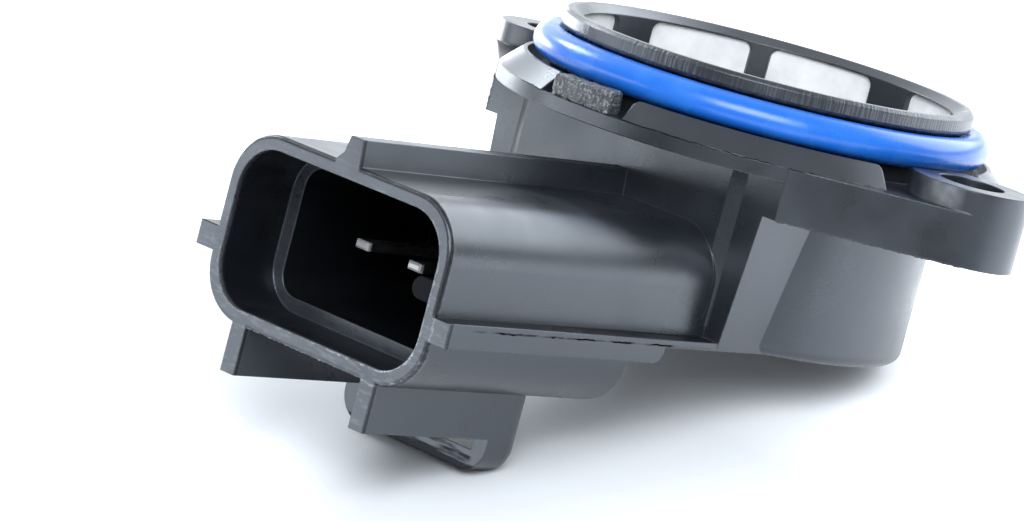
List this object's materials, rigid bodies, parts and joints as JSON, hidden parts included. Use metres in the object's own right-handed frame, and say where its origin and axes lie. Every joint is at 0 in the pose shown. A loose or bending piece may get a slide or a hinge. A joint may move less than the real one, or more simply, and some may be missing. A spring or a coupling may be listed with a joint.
{
  "type": "throttle position sensor",
  "caption": "Rotary throttle position sensor with mounting ears, a sealed spigot over a sprung rotor, and a latched blade connector that points sideways.",
  "frame": {"origin": "on the rotor axis, in the mounting face on top of the two ear bosses", "axes": "+Z out of the spigot towards the throttle body, +X along the line of the mounting holes, -Y out of the connector's mouth"},
  "size_m": [0.0484, 0.0577, 0.0297],
  "materials": {
    "black_plastic": "satin, glass filled",
    "blue_rubber": "smooth, slightly glossy",
    "white_plastic": "satin",
    "plated_blade": "tin plated",
    "rotor_plastic": "natural, satin",
    "spring_steel": "drawn",
    "contact_strip": "bare, rolled",
    "board_laminate": "resin coated",
    "carbon_ink": "printed",
    "silver_ink": "printed",
    "solder": "bright",
    "sealant": "cast"
  },
  "bodies": {
    "base": {"housing": "black_plastic", "seal_ring": "blue_rubber", "liner_ring": "white_plastic", "terminal_supply": "plated_blade", "terminal_signal": "plated_blade", "terminal_ground": "plated_blade", "return_spring": "spring_steel", "element_board": "board_laminate", "resistive_track": "carbon_ink", "collector_track": "silver_ink", "track_leads": "silver_ink", "solder_joints": "solder", "wave_washer": "spring_steel", "rear_cover": "black_plastic", "cover_seal": "sealant"},
    "rotor_body": {"rotor": "rotor_plastic", "wiper": "contact_strip"}
  },
  "joints": [
    {"name": "rotor_turn", "type": "hinge", "parent": "base", "child": "rotor_body", "pos_m": [0, 0, 0], "axis": [0, 0, 1], "range_deg": [0, 100], "stiffness_Nm_per_rad": 0.012, "springref_deg": -28.65, "deforming": ["return_spring"]}
  ]
}
